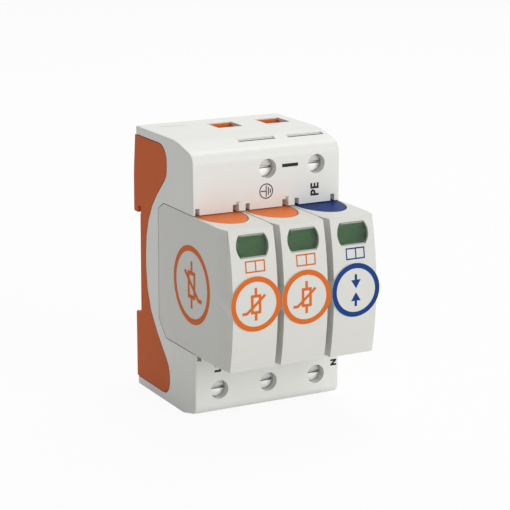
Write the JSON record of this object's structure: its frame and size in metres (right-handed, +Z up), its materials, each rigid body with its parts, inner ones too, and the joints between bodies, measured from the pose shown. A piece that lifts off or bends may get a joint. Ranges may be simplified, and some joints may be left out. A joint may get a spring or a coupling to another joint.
{
  "type": "din rail surge arrester",
  "caption": "Surge arrester for a standard rail: housing with screw clamp terminals, plug-in protection cartridges with status windows, and a sprung rail foot.",
  "frame": {"origin": "middle of the rail seat, on the face that lies against the rail", "axes": "+Z up, +Y to the rear towards the rail, X across the poles, the front faces -Y"},
  "size_m": [0.0538, 0.0702, 0.09],
  "materials": {
    "white_plastic": "light grey-white moulded plastic, fine satin texture",
    "orange_plastic": "orange moulded plastic, satin",
    "grey_plastic": "dark grey moulded plastic",
    "orange_cap": "orange moulded plastic, satin",
    "blue_cap": "blue moulded plastic, satin",
    "green_plastic": "dark green moulded plastic",
    "red_plastic": "red moulded plastic",
    "clear_plastic": "clear polished plastic",
    "element_coating": "dark blue dipped coating",
    "spark_gap_ceramic": "off-white fired ceramic with metal ends",
    "plated_steel": "zinc plated steel",
    "spring_steel": "drawn spring wire",
    "tinned_copper": "tinned copper sheet"
  },
  "bodies": {
    "base": {"front_housing": "white_plastic", "rear_housing": "orange_plastic", "foot_spring": "spring_steel", "line_bar_1": "tinned_copper", "line_bar_2": "tinned_copper", "neutral_bar": "tinned_copper", "earth_bar": "tinned_copper"},
    "foot": {"rail_foot": "grey_plastic"},
    "screw_upper_2": {"terminal_screw_upper_2": "plated_steel"},
    "screw_upper_3": {"terminal_screw_upper_3": "plated_steel"},
    "screw_lower_1": {"terminal_screw_lower_1": "plated_steel"},
    "screw_lower_2": {"terminal_screw_lower_2": "plated_steel"},
    "screw_lower_3": {"terminal_screw_lower_3": "plated_steel"},
    "cage_upper_2": {"clamp_cage_upper_2": "plated_steel"},
    "cage_upper_3": {"clamp_cage_upper_3": "plated_steel"},
    "cage_lower_1": {"clamp_cage_lower_1": "plated_steel"},
    "cage_lower_2": {"clamp_cage_lower_2": "plated_steel"},
    "cage_lower_3": {"clamp_cage_lower_3": "plated_steel"},
    "cartridge_1": {"cartridge_shell_1": "white_plastic", "cartridge_back_1": "white_plastic", "colour_cap_1": "orange_cap", "status_window_1": "clear_plastic", "carrier_1": "red_plastic", "varistor_1": "element_coating", "blade_upper_1": "tinned_copper", "blade_lower_1": "tinned_copper"},
    "cartridge_2": {"cartridge_shell_2": "white_plastic", "cartridge_back_2": "white_plastic", "colour_cap_2": "orange_cap", "status_window_2": "clear_plastic", "carrier_2": "red_plastic", "varistor_2": "element_coating", "blade_upper_2": "tinned_copper", "blade_lower_2": "tinned_copper"},
    "cartridge_3": {"cartridge_shell_3": "white_plastic", "cartridge_back_3": "white_plastic", "colour_cap_3": "blue_cap", "status_window_3": "clear_plastic", "carrier_3": "red_plastic", "spark_gap_3": "spark_gap_ceramic", "blade_upper_3": "tinned_copper", "blade_lower_3": "tinned_copper"},
    "flag_1": {"status_flag_1": "green_plastic"},
    "flag_2": {"status_flag_2": "green_plastic"},
    "flag_3": {"status_flag_3": "green_plastic"}
  },
  "joints": [
    {"name": "foot_slide", "type": "slide", "parent": "base", "child": "foot", "axis": [0, 0, -1], "range_m": [0, 0.004], "stiffness_N_per_m": 1200, "springref_m": -0.001, "deforming": ["foot_spring"]},
    {"name": "screw_turn_upper_2", "type": "hinge", "parent": "base", "child": "screw_upper_2", "pos_m": [0, 0, 0.0356], "axis": [0, 1, 0], "range_deg": [0, 3600]},
    {"name": "screw_turn_upper_3", "type": "hinge", "parent": "base", "child": "screw_upper_3", "pos_m": [0.018, 0, 0.0356], "axis": [0, 1, 0], "range_deg": [0, 3600]},
    {"name": "screw_turn_lower_1", "type": "hinge", "parent": "base", "child": "screw_lower_1", "pos_m": [-0.018, 0, -0.0356], "axis": [0, 1, 0], "range_deg": [0, 3600]},
    {"name": "screw_turn_lower_2", "type": "hinge", "parent": "base", "child": "screw_lower_2", "pos_m": [0, 0, -0.0356], "axis": [0, 1, 0], "range_deg": [0, 3600]},
    {"name": "screw_turn_lower_3", "type": "hinge", "parent": "base", "child": "screw_lower_3", "pos_m": [0.018, 0, -0.0356], "axis": [0, 1, 0], "range_deg": [0, 3600]},
    {"name": "cage_slide_upper_2", "type": "slide", "parent": "base", "child": "cage_upper_2", "axis": [0, -1, 0], "range_m": [0, 0.008]},
    {"name": "cage_slide_upper_3", "type": "slide", "parent": "base", "child": "cage_upper_3", "axis": [0, -1, 0], "range_m": [0, 0.008]},
    {"name": "cage_slide_lower_1", "type": "slide", "parent": "base", "child": "cage_lower_1", "axis": [0, -1, 0], "range_m": [0, 0.008]},
    {"name": "cage_slide_lower_2", "type": "slide", "parent": "base", "child": "cage_lower_2", "axis": [0, -1, 0], "range_m": [0, 0.008]},
    {"name": "cage_slide_lower_3", "type": "slide", "parent": "base", "child": "cage_lower_3", "axis": [0, -1, 0], "range_m": [0, 0.008]},
    {"name": "cartridge_pull_1", "type": "slide", "parent": "base", "child": "cartridge_1", "axis": [0, -1, 0], "range_m": [0, 0.04]},
    {"name": "cartridge_pull_2", "type": "slide", "parent": "base", "child": "cartridge_2", "axis": [0, -1, 0], "range_m": [0, 0.04]},
    {"name": "cartridge_pull_3", "type": "slide", "parent": "base", "child": "cartridge_3", "axis": [0, -1, 0], "range_m": [0, 0.04]},
    {"name": "flag_drop_1", "type": "slide", "parent": "cartridge_1", "child": "flag_1", "axis": [0, 0, -1], "range_m": [0, 0.008]},
    {"name": "flag_drop_2", "type": "slide", "parent": "cartridge_2", "child": "flag_2", "axis": [0, 0, -1], "range_m": [0, 0.008]},
    {"name": "flag_drop_3", "type": "slide", "parent": "cartridge_3", "child": "flag_3", "axis": [0, 0, -1], "range_m": [0, 0.008]}
  ],
  "couplings": [
    {"joint": "screw_turn_upper_2", "follows": "cage_slide_upper_2", "rad_per_m": 7854},
    {"joint": "screw_turn_upper_3", "follows": "cage_slide_upper_3", "rad_per_m": 7854},
    {"joint": "screw_turn_lower_1", "follows": "cage_slide_lower_1", "rad_per_m": 7854},
    {"joint": "screw_turn_lower_2", "follows": "cage_slide_lower_2", "rad_per_m": 7854},
    {"joint": "screw_turn_lower_3", "follows": "cage_slide_lower_3", "rad_per_m": 7854}
  ]
}
